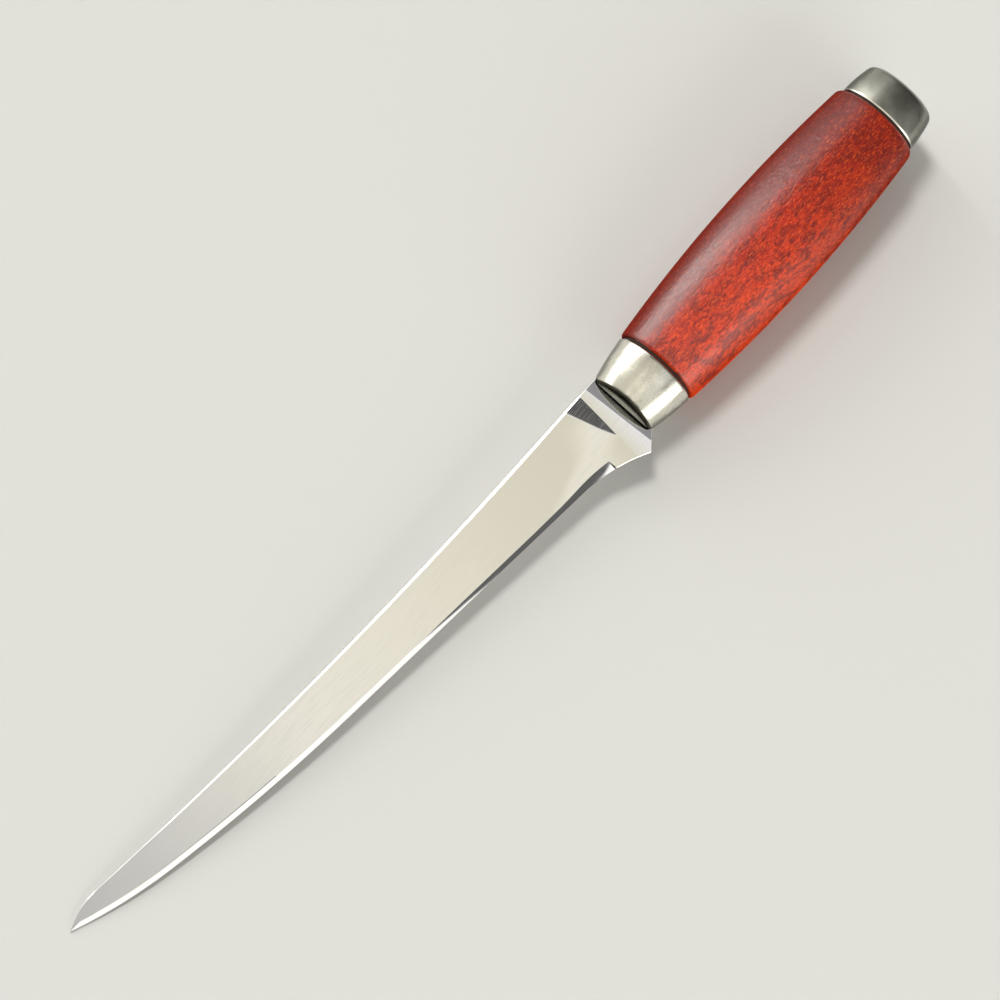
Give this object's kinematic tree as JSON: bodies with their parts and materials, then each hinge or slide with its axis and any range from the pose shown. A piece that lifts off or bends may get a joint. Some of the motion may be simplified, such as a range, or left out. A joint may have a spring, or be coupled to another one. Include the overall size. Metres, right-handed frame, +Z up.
{
  "type": "fillet knife",
  "caption": "Slim fillet knife with an upswept flexible blade, nickel silver bolster and pommel, and a stained wood handle, lying on its side.",
  "frame": {"origin": "on the surface the knife lies on, under the middle of its overall box", "axes": "+X towards the pommel (the tip is at -X), +Y towards the spine (the cutting edge faces -Y), +Z up; the knife lies on its side at rest, its tip and the belly of its handle on the surface, so its own length is pitched 2.6 degrees from X"},
  "size_m": [0.3015, 0.0313, 0.0232],
  "materials": {
    "blade_steel": "mirror-polished stainless steel with a finely ground plunge and cutting bevel",
    "nickel_silver": "cast nickel silver, warm grey, worn satin",
    "stained_wood": "birch stained red ochre, oiled, with short dark flecks along the grain",
    "dark_fibre": "thin vulcanised fibre, nearly black with age",
    "bedding_resin": "cured amber-brown resin",
    "zinc_steel": "zinc-plated steel"
  },
  "bodies": {
    "root": {"blade": "blade_steel", "bolster": "nickel_silver", "front_liner": "dark_fibre", "handle": "stained_wood", "rear_liner": "dark_fibre", "tang_bedding": "bedding_resin", "tang_washer": "zinc_steel", "tang_nut": "zinc_steel", "pommel": "nickel_silver"}
  },
  "joints": []
}
